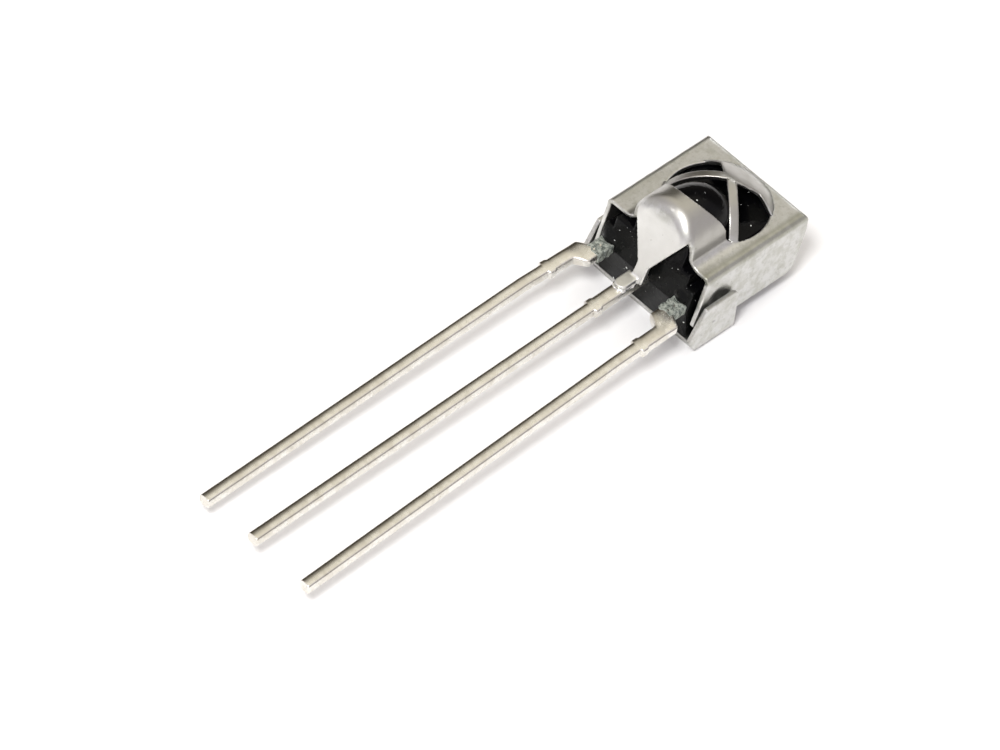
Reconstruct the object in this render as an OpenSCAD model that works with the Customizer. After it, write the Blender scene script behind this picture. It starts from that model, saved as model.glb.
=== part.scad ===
// Infrared receiver module: a black epoxy body with a moulded lens stands on
// three leads and is wrapped in one folded, tin-plated shield.
// The shield's back plate lies on Z = 0, the lens faces +Z and the leads run
// along -Y. The origin is on the back plate's resting face, on the centre line,
// half-way along the front plate.

/* [Shield] */
// Outer width over the side walls
case_w = 5.4; // [5.2:0.05:5.8]
// Length of the front plate along the leads
case_l = 5.3; // [5.2:0.05:5.8]
// Height of the front plate's outer face above the resting face
case_h = 3.45; // [3.3:0.05:4]
// Thickness of the tin-plated sheet
sheet_t = 0.2; // [0.15:0.01:0.22]
// Outer radius of the folds
bend_r = 0.28; // [0.25:0.01:0.4]
// Height of the side walls' lower edge above the resting face
wall_lift = 0.65; // [0.45:0.05:0.9]
// How far the side walls reach past the front plate at the lead end
wall_nose = 0.5; // [0.4:0.05:0.8]
// Height of the side walls' foremost point above the resting face
nose_z = 1.2; // [1:0.05:2]
// Height at which the side walls' slanting nose starts
brow_z = 3.1; // [2.5:0.05:3.1]
// Distance from the front plate's lead end to where the walls' lower edge starts
chin_y = 0.1; // [0:0.05:0.4]
// Size of the cut-off at the side walls' far lower corner
wall_cut = 0.42; // [0.2:0.02:0.5]
// Height of the cut-off's upper end above the resting face
wall_cut_z = 2.6; // [1.6:0.05:2.8]
// Width of the end wall and of the back plate
strap_w = 4.4; // [4:0.05:4.6]
// How far the back plate reaches past the front plate at the lead end
back_nose = 0.45; // [0.3:0.05:0.6]

/* [Ears] */
// Length of each ear along the leads
ear_l = 2.45; // [1.8:0.05:2.8]
// How far the ears reach past the front plate at the lead end
ear_nose = 0.88; // [0.6:0.02:1]
// Height of the ears' foremost point above the resting face
ear_nose_z = 0.75; // [0.4:0.05:0.9]
// Set-back of the ears' upper front corner from the foremost point
ear_rake = 0.75; // [0.4:0.05:0.9]
// Height of the ears' top edge above the resting face
ear_h = 2.1; // [1.6:0.05:2.3]
// Gap between a side wall and its ear
ear_gap = 0.08; // [0.05:0.01:0.15]
// Radius of the ears' upper far corner
ear_corner_r = 0.4; // [0.2:0.05:0.8]

/* [Crimp dents] */
// Radius of the round dent in each side wall
dent_r = 0.65; // [0.4:0.05:0.7]
// Depth of the dent, which touches the body inside
dent_depth = 0.16; // [0.1:0.01:0.16]
// Distance of the dent from the front plate's lead end
dent_y = 0.7; // [0.7:0.05:1.5]
// Height of the dent's centre above the resting face
dent_z = 2.05; // [1.9:0.05:2.4]
// Radius of the punch mark in each ear
punch_r = 0.11; // [0.06:0.01:0.15]
// Height of the punch mark above the resting face
punch_z = 1.25; // [0.9:0.05:1.5]

/* [Arch] */
// Outer radius of the arch over the lens
arch_r = 1.55; // [1.4:0.05:1.65]
// Height of the arch's centre above the front plate
arch_lift = 0.4; // [0.3:0.05:0.5]
// Length of the arch's feet along the leads
arch_l = 2.2; // [1.9:0.05:2.3]
// Hollow radius where the arch springs from the front plate
arch_foot_r = 0.45; // [0.3:0.05:0.5]

/* [Window] */
// Radius of the round window in the front plate
window_r = 2.05; // [1.95:0.05:2.1]
// Distance of the window's centre from the front plate's lead end
window_y = 3; // [2.9:0.05:3.1]
// Radius at which the ribs' dome meets the front plate
dome_foot_r = 2.12; // [2.12:0.01:2.2]
// Height of the ribs' dome above the front plate
dome_h = 1.12; // [0.9:0.02:1.3]
// Width of the two ribs that run to the lead end's side
rib_w = 0.38; // [0.3:0.01:0.5]
// Direction of those ribs, measured from the X axis
rib_angle = 40; // [34:1:46]
// Distance from the window's centre to the point where the ribs meet
rib_meet = 0.6; // [0.4:0.05:0.8]
// Half width of the leaf's narrow end, where the ribs meet it
leaf_tip_w = 0.34; // [0.25:0.01:0.45]
// Distance from the window's centre to the leaf's shoulders
leaf_shoulder_y = 1.13; // [1:0.01:1.3]
// Half width of the leaf at its shoulders
leaf_shoulder_w = 1.02; // [0.8:0.02:1.2]
// Slope of the leaf's flat middle
leaf_slope = 37; // [34:1:42]
// Distance from the window's centre to the foot of the leaf's flat middle
leaf_foot_y = 2.09; // [2.08:0.005:2.11]

/* [Ground tongue] */
// Lean of the tongue from the vertical
tongue_lean = 22; // [18:1:24]
// Height of the tongue's top corners above the front plate
tongue_corner_h = 1.15; // [1:0.05:1.3]
// Outer radius of the fold between the arch and the tongue
tongue_fold_r = 0.4; // [0.3:0.05:0.6]
// Height of the neck's upper end above the leads' top face
neck_rise = 0.75; // [0.5:0.05:1]
// Width of the neck and of the tab that is soldered to the lead
neck_w = 0.56; // [0.5:0.02:0.6]
// Length of the tab along the lead
tab_l = 0.85; // [0.6:0.05:1.1]
// Thickness of the solder between the tab and the lead
solder_t = 0.03; // [0.02:0.01:0.05]
// Width of the solder fillet round the tab
solder_margin = 0.1; // [0.05:0.01:0.12]

/* [Body] */
// Clearance between the body and the side walls
body_gap = 0.16; // [0.16:0.01:0.2]
// Clearance between the body and the front plate
front_gap = 0.05; // [0.03:0.01:0.1]
// Clearance between the body and the end wall
end_gap = 0.1; // [0.05:0.01:0.2]
// Clearance between the lens and the arch
lens_gap = 0.05; // [0.03:0.01:0.1]
// Height of the shoulders on both sides of the body
shoulder_z = 2.65; // [2.5:0.05:2.8]
// Half width of the body above the shoulders
upper_half_w = 1.95; // [1.8:0.05:2.1]
// How far the parting line stands out past the front plate's lead end
body_nose = 0.6; // [0.5:0.05:0.65]
// Set-back of the body's foot from the parting line
foot_setback = 0.18; // [0.1:0.02:0.3]
// Slope of the lead end's upper face, as set-back per height
nose_draft = 0.26; // [0.25:0.01:0.3]
// Length of the straight part of the lens from the front plate's lead end
lens_straight_l = 1.1; // [0.9:0.05:1.3]
// Radius of the path along which the lens bends down to the far end
lens_path_r = 1.2; // [1:0.05:1.3]
// Width of the resin collars round the outer leads' roots
collar_margin = 0.08; // [0.05:0.01:0.12]
// Length of the resin collars along the leads
collar_l = 0.45; // [0.2:0.05:0.6]

/* [Leads] */
// Distance between neighbouring leads
lead_pitch = 2.54; // [2.5:0.01:2.6]
// Width of a lead beyond its shoulder
lead_w = 0.5; // [0.4:0.02:0.56]
// Thickness of the lead frame
lead_t = 0.4; // [0.3:0.02:0.45]
// Width of a lead between its shoulder and the body
lead_root_w = 0.62; // [0.58:0.02:0.7]
// Height of the leads' top face above the resting face
lead_z = 2.04; // [1.9:0.02:2.1]
// Distance from the front plate's lead end to the lead tips
lead_reach = 20.1; // [12:0.1:26]
// Distance from the front plate's lead end to the lead shoulders
lead_shoulder = 3.3; // [3:0.1:5]
// How far the lead tips hang below the body's lead plane
lead_droop = 0.85; // [0:0.05:1.2]
// Distance of an outer lead's root from the centre line
root_x = 1.93; // [1.85:0.01:2]
// Distance from the front plate's lead end to the outer leads' jog
jog_y = 1.5; // [1.4:0.05:1.8]
// Length of the jog
jog_l = 0.75; // [0.5:0.05:0.9]
// Length of the sheared tie-bar stubs
stub_l = 0.3; // [0.2:0.05:0.5]
// How far the tie-bar stubs stand out from the lead
stub_out = 0.07; // [0.04:0.01:0.12]

/* [Chips] */
// Side of the square photodiode
diode_side = 1.3; // [1:0.05:1.6]
// Length of the receiver chip across the leads
chip_w = 1.1; // [0.9:0.05:1.3]
// Length of the receiver chip along the leads
chip_l = 0.9; // [0.7:0.05:1]
// Thickness of both chips
die_t = 0.28; // [0.2:0.02:0.35]
// Thickness of the adhesive under the chips
attach_t = 0.03; // [0.02:0.01:0.05]
// How far the adhesive reaches past a chip's edge
attach_margin = 0.05; // [0.02:0.01:0.08]
// Half width of the chip pad on the ground lead
pad_half_w = 0.95; // [0.85:0.05:1.05]
// Distance from the front plate's lead end to the chip pad's near edge
pad_y = 0.55; // [0.5:0.05:0.7]
// Margin of the chip pad round the chips
pad_margin = 0.15; // [0.1:0.01:0.25]
// Gap between the two chips
die_gap = 0.3; // [0.2:0.05:0.4]
// Diameter of a bond wire
wire_d = 0.03; // [0.02:0.005:0.05]
// Diameter of the flattened ball at a wire's end
ball_d = 0.09; // [0.07:0.01:0.12]
// Height of the flattened ball
ball_h = 0.03; // [0.02:0.005:0.05]

/* [Hidden] */
$fn = 64;
reach = 40;                          // longer than any piece, for cutting
cut = 0.5;                           // how far a cutting shape runs past a face
blend = 0.01;                        // keeps hollow feet from ending in a knife edge

front_y = -case_l / 2;               // lead end of the front plate
far_y = case_l / 2;                  // outer face of the end wall
inner_bend_r = bend_r - sheet_t;
end_fold_z = case_h - bend_r;        // foot of the fold at the far end
arch_z = case_h + arch_lift;         // axis of the arch
arch_end_y = front_y + arch_l;
arch_top = arch_z + arch_r;
foot_z = case_h + arch_foot_r - blend;
foot_x = sqrt(pow(arch_r + arch_foot_r, 2) - pow(foot_z - arch_z, 2));
window_cy = front_y + window_y;
dome_r = (pow(dome_foot_r, 2) + pow(dome_h, 2)) / (2 * dome_h);
dome_cz = case_h + dome_h - dome_r;
meet_y = window_cy + rib_meet;

// The tongue's outer face runs from the tab's fold up to the arch.
tab_z = lead_z + solder_t;           // underside of the tab
neck_top_z = lead_z + neck_rise;
tongue_corner_z = case_h + tongue_corner_h;
tongue_corner_x = sqrt(pow(arch_r, 2) - pow(tongue_corner_z - arch_z, 2));
tongue_corner_y = front_y - sheet_t;
function tongue_y(z) = tongue_corner_y - (tongue_corner_z - z) * tan(tongue_lean);
tab_y = tongue_y(tab_z + sheet_t);

body_half_w = case_w / 2 - sheet_t - body_gap;
body_top = case_h - sheet_t - front_gap;
body_far = far_y - sheet_t - end_gap;
nose_y = front_y - body_nose;        // parting line, at the leads' mid height
parting_z = lead_z - lead_t / 2;
lens_r = arch_r - sheet_t - lens_gap;
lens_end_y = front_y + lens_straight_l;

lead_bend_y = tab_y - tab_l - 2 * solder_margin; // the leads start to droop here
lead_tip_y = front_y - lead_reach;
lead_shoulder_y = front_y - lead_shoulder;
outer_jog_y = front_y - jog_y;
inner_jog_y = outer_jog_y - jog_l;

pad_near_y = front_y + pad_y;
chip_y = pad_near_y + pad_margin + chip_l / 2;
diode_y = chip_y + chip_l / 2 + die_gap + diode_side / 2;
pad_far_y = diode_y + diode_side / 2 + pad_margin;
die_z = lead_z + attach_t;
die_top = die_z + die_t;
post_x = root_x;                     // wire post at the inner end of an outer lead
post_far_y = chip_y + chip_l / 2;
chip_bond_x = chip_w / 2 - ball_d;
post_bond_y = chip_y;

// ---- placing helpers -------------------------------------------------------

// Extrudes an XZ outline from y0 to y1.
module along_y(y0, y1) {
    translate([0, y1, 0])
        rotate([90, 0, 0])
            linear_extrude(y1 - y0)
                children();
}

// Extrudes a YZ outline from x0 to x1.
module along_x(x0, x1) {
    translate([x0, 0, 0])
        rotate([90, 0, 90])
            linear_extrude(x1 - x0)
                children();
}

// Extrudes an XY outline from z0 to z1.
module along_z(z0, z1) {
    translate([0, 0, z0])
        linear_extrude(z1 - z0)
            children();
}

// Draws its children on both sides of the centre line.
module both_sides() {
    children();
    mirror([1, 0, 0])
        children();
}

// A block from z0 to z1, centred on X, whose upper corners are rounded.
module round_top(w, z0, z1, r) {
    translate([-w / 2, z0])
        square([w, z1 - r - z0]);
    translate([-w / 2 + r, z0])
        square([w - 2 * r, z1 - z0]);
    for (side = [-1, 1])
        translate([side * (w / 2 - r), z1 - r])
            circle(r);
}

// ---- shield ----------------------------------------------------------------

// Section of the arch and its hollow feet, grown outwards by -inset.
module arch_section(inset) {
    r = arch_r - inset;
    foot_r = arch_foot_r + inset;
    touch = r / (arch_r + arch_foot_r);
    translate([0, arch_z])
        circle(r);
    difference() {
        polygon([
            [-foot_x, case_h - inset - cut], [foot_x, case_h - inset - cut],
            [foot_x, foot_z],
            [foot_x * touch, arch_z + (foot_z - arch_z) * touch],
            [0, arch_z],
            [-foot_x * touch, arch_z + (foot_z - arch_z) * touch],
            [-foot_x, foot_z]
        ]);
        for (side = [-1, 1])
            translate([side * foot_x, foot_z])
                circle(foot_r);
    }
}

// Side view of a side wall: slanting nose, cut-off lower corners.
module wall_outline() {
    polygon([
        [far_y + cut, case_h + cut], [front_y, case_h + cut], [front_y, brow_z],
        [front_y - wall_nose, nose_z],
        [front_y + chin_y, wall_lift], [far_y - 2 * wall_cut, wall_lift],
        [far_y - wall_cut, wall_lift + wall_cut / 2], [far_y, wall_cut_z],
        [far_y + cut, wall_cut_z]
    ]);
}

// Side view of the front plate and its far fold, filled and drawn in by inset.
// Below the fold it runs out to end_y.
module fold_side(inset, end_y) {
    low = wall_lift - 2 * cut;
    fold_y = far_y - bend_r;
    translate([-case_l, low])
        square([case_l + fold_y, case_h - inset - low]);
    translate([-case_l, low])
        square([case_l + end_y, end_fold_z - low]);
    translate([fold_y, end_fold_z])
        circle(bend_r - inset);
}

// Front plate, side walls and far fold before the openings. The folds meet in
// mitred corners, and the end is open below the fold.
module cover() {
    near = front_y - wall_nose;
    difference() {
        intersection() {
            along_y(near - cut, far_y + cut)
                round_top(case_w, wall_lift - cut, case_h, bend_r);
            along_x(-case_w, case_w)
                fold_side(0, far_y);
            along_x(-case_w, case_w)
                wall_outline();
        }
        intersection() {
            along_y(near - 2 * cut, far_y + 2 * cut)
                round_top(case_w - 2 * sheet_t, wall_lift - 2 * cut, case_h - sheet_t, inner_bend_r);
            along_x(-case_w, case_w)
                fold_side(sheet_t, far_y + cut);
        }
    }
}

// End wall, from the far fold's foot down, and back plate.
module strap() {
    module loop(near, inset, top) {
        translate([near, inset])
            square([far_y - bend_r - near, top - inset]);
        translate([near, bend_r])
            square([far_y - inset - near, top - bend_r]);
        translate([far_y - bend_r, bend_r])
            circle(bend_r - inset);
    }
    difference() {
        along_x(-strap_w / 2, strap_w / 2)
            loop(front_y, 0, end_fold_z);
        along_x(-case_w, case_w)
            loop(front_y - cut, sheet_t, case_h);
    }
}

// Back plate's lead end with the two ears folded up outside the side walls.
module ears() {
    outer_w = case_w + 2 * (ear_gap + sheet_t);
    near = front_y - ear_nose;
    far = near + ear_l;
    module ear_outline() {
        round_y = far - ear_corner_r;
        round_z = ear_h - ear_corner_r;
        polygon([
            [front_y - back_nose, -cut], [front_y - back_nose, 0], [near, ear_nose_z],
            [near + ear_rake, ear_h], [round_y, ear_h], [round_y, round_z],
            [far, round_z], [far, -cut]
        ]);
        translate([round_y, round_z])
            circle(ear_corner_r);
    }
    module trough(w, z0, r) {
        translate([-w / 2 + r, z0])
            square([w - 2 * r, case_h]);
        translate([-w / 2, z0 + r])
            square([w, case_h]);
        for (side = [-1, 1])
            translate([side * (w / 2 - r), z0 + r])
                circle(r);
    }
    module blank() {
        intersection() {
            difference() {
                along_y(near, far)
                    trough(outer_w, 0, bend_r);
                along_y(near - cut, far + cut)
                    trough(outer_w - 2 * sheet_t, sheet_t, inner_bend_r);
            }
            along_x(-case_w, case_w)
                ear_outline();
        }
    }
    difference() {
        blank();
        // the plate itself ends nearer than the ears do
        translate([-case_w / 2, near - cut, -cut])
            cube([case_w, ear_nose - back_nose + cut, sheet_t + 2 * cut]);
        both_sides()
            translate([outer_w / 2 + punch_r / 2, near + ear_l / 2, punch_z])
                sphere(punch_r);
    }
    translate([-strap_w / 2, front_y - back_nose, 0])
        cube([strap_w, back_nose + cut, sheet_t]);
}

// Round crimp dent on the inside of a side wall, and the hollow on its outside.
dent_ball_r = (pow(dent_r, 2) + pow(dent_depth, 2)) / (2 * dent_depth);
module dent_ball(r) {
    translate([case_w / 2 + dent_ball_r - dent_depth, front_y + dent_y, dent_z])
        sphere(r);
}
module dent_bump() {
    intersection() {
        dent_ball(dent_ball_r + sheet_t);
        translate([case_w / 2 - 2 * sheet_t, front_y + dent_y, dent_z])
            rotate([0, 90, 0])
                cylinder(r = dent_r + sheet_t, h = 1.5 * sheet_t);
    }
}

// Plan of the strips that stay over the window: two ribs that meet at the tip of
// a broad leaf on the far side.
module rib_plan() {
    half = rib_w / 2 / cos(rib_angle);
    rim = 2 * window_r;
    drop = rim * tan(rib_angle);
    shoulder = window_cy + leaf_shoulder_y;
    right = [
        [0, meet_y - half], [rim, meet_y - half - drop], [rim, meet_y + half - drop],
        [leaf_tip_w, meet_y + half - leaf_tip_w * tan(rib_angle)],
        [leaf_shoulder_w, shoulder], [rim, shoulder], [rim, far_y]
    ];
    left = [for (i = [len(right) - 1 : -1 : 1]) [-right[i][0], right[i][1]]];
    polygon(concat(right, left));
}

// A shallow dome with one flat flank over the leaf, drawn in by inset.
module dome(inset) {
    function flank_z(v) = case_h + (leaf_foot_y - v) * tan(leaf_slope) - inset / cos(leaf_slope);
    low = case_h - 2 * dome_r;
    intersection() {
        translate([0, window_cy, dome_cz])
            sphere(dome_r - inset);
        along_x(-case_w, case_w)
            polygon([
                [window_cy - dome_r, low], [window_cy - dome_r, flank_z(-dome_r)],
                [window_cy + dome_r, flank_z(dome_r)], [window_cy + dome_r, low]
            ]);
    }
}

// The ribs and the leaf, cut from the dome's shell.
module dome_ribs() {
    intersection() {
        difference() {
            dome(0);
            dome(sheet_t);
        }
        along_z(case_h - sheet_t / 2, case_h + 2 * dome_h)
            rib_plan();
    }
}

// Side view of everything behind the tongue's outer face, drawn in by inset.
module tongue_side(inset) {
    r = tongue_fold_r - inset;
    face = inset / cos(tongue_lean);
    top = arch_top + 2 * blend - inset;
    fold_z = arch_top + 2 * blend - tongue_fold_r;
    fold_y = tongue_y(fold_z) + tongue_fold_r / cos(tongue_lean);
    low = tab_z - cut;
    touch_y = fold_y - r * cos(tongue_lean);
    touch_z = fold_z + r * sin(tongue_lean);
    polygon([
        [tongue_y(low) + face, low], [touch_y, touch_z], [fold_y, fold_z],
        [fold_y, top], [window_cy, top], [window_cy, low]
    ]);
    translate([fold_y, fold_z])
        circle(r);
}

// Front view of the tongue: arch on top, tapering to the neck.
module tongue_front() {
    intersection() {
        translate([0, arch_z])
            circle(arch_r - blend / 2);
        translate([-tongue_corner_x, tongue_corner_z - cut])
            square([2 * tongue_corner_x, arch_r + cut]);
    }
    polygon([
        [-tongue_corner_x, tongue_corner_z], [tongue_corner_x, tongue_corner_z],
        [neck_w / 2, neck_top_z], [neck_w / 2, tab_z],
        [-neck_w / 2, tab_z], [-neck_w / 2, neck_top_z]
    ]);
}

// Arch over the lens, closed at the lead end by the leaning tongue.
module hood() {
    intersection() {
        union() {
            along_y(front_y, arch_end_y)
                intersection() {
                    arch_section(0);
                    translate([-case_w, case_h - sheet_t / 2])
                        square([2 * case_w, reach]);
                }
            along_y(front_y - lead_shoulder, front_y + cut)
                tongue_front();
        }
        along_x(-case_w, case_w)
            tongue_side(0);
    }
}

// Room for the lens under the arch and for the body behind the tongue.
module under_hood() {
    intersection() {
        along_y(front_y - reach, arch_end_y + cut) {
            arch_section(sheet_t);
            translate([-case_w / 2, -cut])
                square([case_w, case_h - sheet_t + cut]);
        }
        along_x(-reach, reach)
            tongue_side(sheet_t);
    }
}

// Tab at the tongue's foot, flat on the ground lead.
module tab() {
    round_y = tab_y - tab_l + neck_w / 2;
    translate([-neck_w / 2, round_y, tab_z])
        cube([neck_w, tab_y - round_y + sheet_t / 2, sheet_t]);
    translate([0, round_y, tab_z])
        cylinder(d = neck_w, h = sheet_t);
}

module shield() {
    color([0.80, 0.77, 0.70]) {
        difference() {
            union() {
                cover();
                both_sides()
                    dent_bump();
                difference() {
                    hood();
                    under_hood();
                }
            }
            // window
            translate([0, window_cy, case_h - sheet_t - cut])
                cylinder(r = window_r, h = arch_top);
            // room for the lens where the arch replaces the front plate
            intersection() {
                along_y(front_y - cut, arch_end_y)
                    arch_section(sheet_t);
                along_x(-reach, reach)
                    tongue_side(sheet_t);
            }
            both_sides()
                dent_ball(dent_ball_r);
        }
        dome_ribs();
        tab();
        strap();
        ears();
    }
}

// ---- leads -----------------------------------------------------------------

// Side view of a lead: level inside the body, drooping from the collar on.
module lead_side(far) {
    low = lead_z - lead_t;
    polygon([
        [far, low], [far, lead_z], [lead_bend_y, lead_z], [lead_tip_y, lead_z - lead_droop],
        [lead_tip_y, low - lead_droop], [lead_bend_y, low]
    ]);
}

// Straight run of a lead from the tip to y, with its shoulder and tie-bar stubs.
module lead_run(y) {
    translate([-lead_w / 2, lead_tip_y])
        square([lead_w, lead_shoulder_y - lead_tip_y]);
    translate([-lead_root_w / 2, lead_shoulder_y])
        square([lead_root_w, y - lead_shoulder_y]);
    translate([-lead_root_w / 2 - stub_out, lead_shoulder_y])
        square([lead_root_w + 2 * stub_out, stub_l]);
}

// Plan of the right-hand outer lead: run, jog, root and wire post.
module outer_lead_plan() {
    outer_x = lead_pitch + lead_root_w / 2;
    run_in_x = lead_pitch - lead_root_w / 2;
    root_in_x = root_x - lead_root_w / 2;
    root_out_x = root_x + lead_root_w / 2;
    corner = (outer_x - root_out_x) / 3;
    translate([lead_pitch, 0])
        lead_run(inner_jog_y);
    polygon([
        [run_in_x, inner_jog_y], [outer_x, inner_jog_y], [outer_x, outer_jog_y - corner],
        [outer_x - corner, outer_jog_y], [root_out_x, outer_jog_y + corner],
        [root_out_x, post_far_y], [root_in_x, post_far_y],
        [root_in_x, outer_jog_y - 0.4 * jog_l], [run_in_x - corner, outer_jog_y - 0.6 * jog_l]
    ]);
}

module outer_lead() {
    intersection() {
        along_x(0, case_w)
            lead_side(post_far_y);
        along_z(0, case_h)
            outer_lead_plan();
    }
}

module ground_lead_plan() {
    lead_run(pad_near_y);
    translate([-pad_half_w, pad_near_y])
        square([2 * pad_half_w, pad_far_y - pad_near_y]);
}

module signal_lead() {
    color([0.86, 0.83, 0.74])
        mirror([1, 0, 0])
            outer_lead();
}

module supply_lead() {
    color([0.86, 0.83, 0.74])
        outer_lead();
}

module ground_lead() {
    color([0.86, 0.83, 0.74])
        intersection() {
            along_x(-case_w, case_w)
                lead_side(pad_far_y);
            along_z(0, case_h)
                ground_lead_plan();
        }
}

// Solder between the tab and the ground lead, with a low fillet round the tab.
module ground_solder() {
    width = min(neck_w + 2 * solder_margin, lead_root_w);
    near = tab_y - tab_l - solder_margin;
    color([0.88, 0.88, 0.86])
        difference() {
            along_x(-width / 2, width / 2)
                polygon([
                    [tab_y, lead_z - lead_t], [tab_y, tab_z], [near + solder_margin, tab_z],
                    [near, lead_z - lead_t / 2], [near, lead_z - lead_t]
                ]);
            along_x(-case_w, case_w)
                lead_side(pad_far_y);
        }
}

// ---- chips and bond wires --------------------------------------------------

// A square-cornered plate centred on X, from z0 up.
module plate(w, l, y, z0, t) {
    translate([-w / 2, y - l / 2, z0])
        cube([w, l, t]);
}

module photodiode() {
    color([0.25, 0.27, 0.45])
        plate(diode_side, diode_side, diode_y, die_z, die_t);
}

module receiver_chip() {
    color([0.45, 0.45, 0.5])
        plate(chip_w, chip_l, chip_y, die_z, die_t);
}

module photodiode_adhesive() {
    side = diode_side + 2 * attach_margin;
    color([0.7, 0.7, 0.68])
        plate(side, side, diode_y, lead_z, attach_t);
}

module chip_adhesive() {
    color([0.7, 0.7, 0.68])
        plate(chip_w + 2 * attach_margin, chip_l + 2 * attach_margin, chip_y, lead_z, attach_t);
}

// A wire that rises from a point on a chip and falls to a point that is no
// higher, as a half ring with a straight leg, on a flattened ball at each end.
module bond_wire(from, to) {
    span = norm([to[0] - from[0], to[1] - from[1]]);
    loop_z = from[2] + ball_h;
    translate([from[0], from[1], 0])
        rotate(atan2(to[1] - from[1], to[0] - from[0])) {
            translate([0, 0, from[2]])
                cylinder(d = ball_d, h = ball_h);
            translate([span, 0, to[2]])
                cylinder(d = ball_d, h = ball_h);
            translate([span, 0, to[2]])
                cylinder(d = wire_d, h = loop_z - to[2]);
            translate([span / 2, 0, loop_z])
                rotate([90, 0, 0])
                    rotate_extrude(angle = 180)
                        translate([span / 2, 0])
                            circle(d = wire_d);
        }
}

module photodiode_wire() {
    color("gold")
        bond_wire(
            [0, diode_y - diode_side / 2 + ball_d, die_top],
            [0, chip_y + chip_l / 2 - ball_d, die_top]
        );
}

module signal_wire() {
    color("gold")
        bond_wire([-chip_bond_x, chip_y, die_top], [-post_x, post_bond_y, lead_z]);
}

module supply_wire() {
    color("gold")
        bond_wire([chip_bond_x, chip_y, die_top], [post_x, post_bond_y, lead_z]);
}

module ground_wire() {
    color("gold")
        bond_wire(
            [chip_bond_x, chip_y + chip_l / 2 - ball_d, die_top],
            [chip_w / 2 + attach_margin + ball_d, chip_y + chip_l / 2 + attach_margin + ball_d, lead_z]
        );
}

// ---- body ------------------------------------------------------------------

// Side view of the body: foot, parting line and draft at the lead end.
module body_side() {
    draft_y = nose_y + nose_draft * (arch_top - parting_z);
    polygon([
        [nose_y + foot_setback, sheet_t], [nose_y, parting_z], [draft_y, arch_top],
        [body_far, arch_top], [body_far, sheet_t]
    ]);
}

// Front view of the moulded block: wide up to the shoulders.
module body_front() {
    translate([-body_half_w, sheet_t - cut])
        square([2 * body_half_w, shoulder_z - sheet_t + cut]);
    translate([-upper_half_w, sheet_t - cut])
        square([2 * upper_half_w, body_top - sheet_t + cut]);
}

// Section of the lens above the axis of its bend: round top, upright flanks.
module lens_section() {
    intersection() {
        union() {
            translate([0, lens_path_r])
                circle(lens_r);
            translate([-lens_r, 0])
                square([2 * lens_r, lens_path_r]);
        }
        translate([-case_w, wire_d])
            square([2 * case_w, case_h]);
    }
}

// Lens: a half-round ridge under the arch that bends down to the far end.
module lens() {
    axis_z = arch_z - lens_path_r;
    along_y(nose_y - cut, lens_end_y)
        translate([0, axis_z])
            lens_section();
    translate([0, lens_end_y, axis_z])
        rotate([90, 0, 90])
            rotate_extrude(angle = 90)
                rotate(-90)
                    lens_section();
}

// Resin that crept out along an outer lead's root.
module collars() {
    both_sides()
        translate([
            root_x - lead_root_w / 2 - collar_margin,
            nose_y - collar_l,
            lead_z - lead_t - collar_margin
        ])
            cube([
                lead_root_w + 2 * collar_margin,
                collar_l + foot_setback,
                lead_t + 2 * collar_margin
            ]);
}

module body() {
    color([0.08, 0.08, 0.09])
        difference() {
            union() {
                intersection() {
                    union() {
                        along_y(nose_y - cut, body_far + cut)
                            body_front();
                        lens();
                    }
                    along_x(-case_w, case_w)
                        body_side();
                }
                collars();
            }
            signal_lead();
            ground_lead();
            supply_lead();
            photodiode();
            receiver_chip();
            photodiode_adhesive();
            chip_adhesive();
            photodiode_wire();
            signal_wire();
            supply_wire();
            ground_wire();
        }
}

shield();
body();
signal_lead();
ground_lead();
supply_lead();
ground_solder();
photodiode();
receiver_chip();
photodiode_adhesive();
chip_adhesive();
photodiode_wire();
signal_wire();
supply_wire();
ground_wire();
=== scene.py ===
"""Dresses an infrared receiver module: a black moulded body on three tinned leads,
wrapped in one folded, tin-plated shield.

Sizes are in millimetres and places are in the row's frame: the back plate lies on
Z = 0, the lens looks along +Z, the leads run along -Y, and the origin is half-way
along the front plate. The formed pieces are written as signed distance fields, which
give every punched edge its small round, and are skinned into plain meshes.
"""
import logging
import math
from dataclasses import dataclass
from enum import Enum
from typing import Callable, Mapping, Sequence

import bpy
import numpy as np
from mathutils import Matrix, Vector


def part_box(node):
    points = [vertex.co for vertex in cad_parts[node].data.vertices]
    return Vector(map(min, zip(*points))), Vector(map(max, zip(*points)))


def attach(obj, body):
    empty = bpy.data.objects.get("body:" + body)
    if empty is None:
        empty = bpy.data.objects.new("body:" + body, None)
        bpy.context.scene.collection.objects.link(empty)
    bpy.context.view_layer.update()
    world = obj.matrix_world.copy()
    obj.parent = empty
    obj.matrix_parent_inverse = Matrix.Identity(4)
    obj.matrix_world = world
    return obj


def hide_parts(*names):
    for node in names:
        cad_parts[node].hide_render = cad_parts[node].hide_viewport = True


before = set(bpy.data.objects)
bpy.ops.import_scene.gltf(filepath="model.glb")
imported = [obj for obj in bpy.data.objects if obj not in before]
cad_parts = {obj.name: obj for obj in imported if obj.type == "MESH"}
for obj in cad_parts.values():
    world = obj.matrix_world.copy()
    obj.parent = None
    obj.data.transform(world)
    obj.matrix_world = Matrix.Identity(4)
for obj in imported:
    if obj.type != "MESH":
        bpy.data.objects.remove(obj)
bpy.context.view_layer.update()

LOG = logging.getLogger("receiver")
MM = 0.001
DRAWING_PASSES = 4
LEAST_STEEPNESS = 0.2

Array = np.ndarray
Field = Callable[[Array, Array, Array], Array]
Colour = tuple[float, float, float]
Point2 = tuple[float, float]


# ---- signed distance fields ----


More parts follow.
